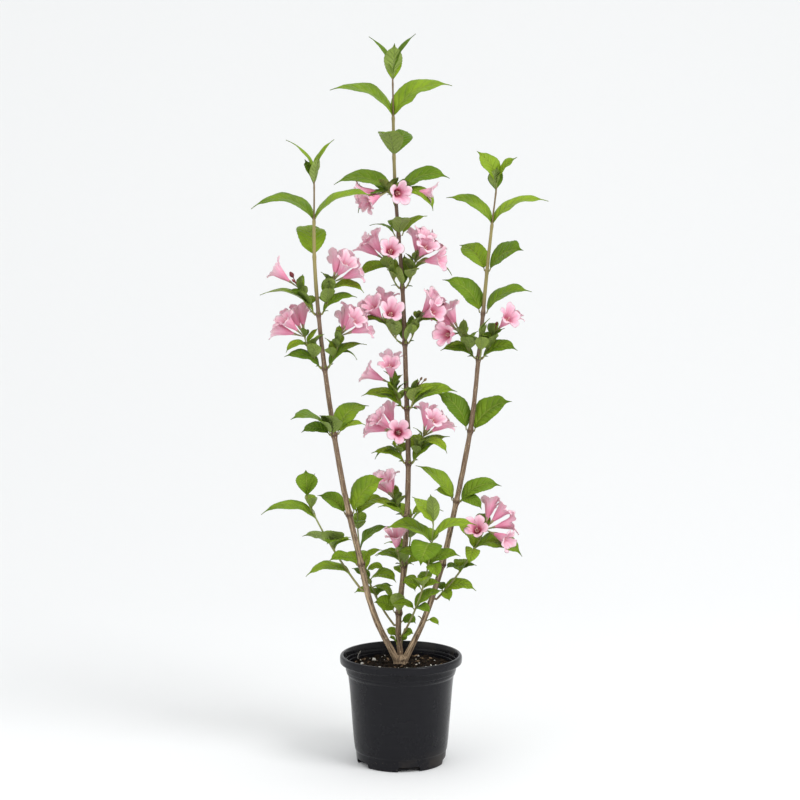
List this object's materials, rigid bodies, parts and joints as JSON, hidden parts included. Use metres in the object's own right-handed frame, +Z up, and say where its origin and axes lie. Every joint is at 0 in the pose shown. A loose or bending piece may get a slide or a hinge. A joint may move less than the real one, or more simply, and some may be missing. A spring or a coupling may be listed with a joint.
{
  "type": "potted weigela shrub",
  "caption": "Young weigela in flower: a woody crown, tall upright stems with opposite leaves and pink funnel flowers on short side shoots, in a round tapered nursery pot.",
  "frame": {"origin": "centre of the pot's flat underside", "axes": "+Z up, +X to the right of the plant's front, -Y towards its front"},
  "size_m": [0.3934, 0.1905, 0.972],
  "materials": {
    "pot": "black moulded plastic, satin",
    "soil": "damp bark and peat potting mix with white perlite",
    "bark": "tan grey-brown bark with pale pores",
    "foliage": "fresh green leaves, softly glossy",
    "blossom": "pink petals with a deeper throat"
  },
  "bodies": {
    "root": {"crown": "bark", "foliage_centre_1": "foliage", "foliage_centre_2": "foliage", "foliage_centre_3": "foliage", "foliage_centre_4": "foliage", "foliage_centre_5": "foliage", "foliage_centre_6": "foliage", "foliage_centre_7": "foliage", "foliage_centre_8": "foliage", "foliage_centre_9": "foliage", "foliage_centre_tip": "foliage", "foliage_left_1": "foliage", "foliage_left_2": "foliage", "foliage_left_3": "foliage", "foliage_left_4": "foliage", "foliage_left_5": "foliage", "foliage_left_6": "foliage", "foliage_left_tip": "foliage", "foliage_right_1": "foliage", "foliage_right_2": "foliage", "foliage_right_3": "foliage", "foliage_right_4": "foliage", "foliage_right_5": "foliage", "foliage_right_6": "foliage", "foliage_right_tip": "foliage", "pot": "pot", "shoot_back": "foliage", "shoot_front": "foliage", "shoot_left_inner": "foliage", "shoot_left_outer": "foliage", "shoot_right_outer": "foliage", "soil": "soil", "stem_centre": "bark", "stem_left": "bark", "stem_right": "bark"}
  },
  "joints": []
}
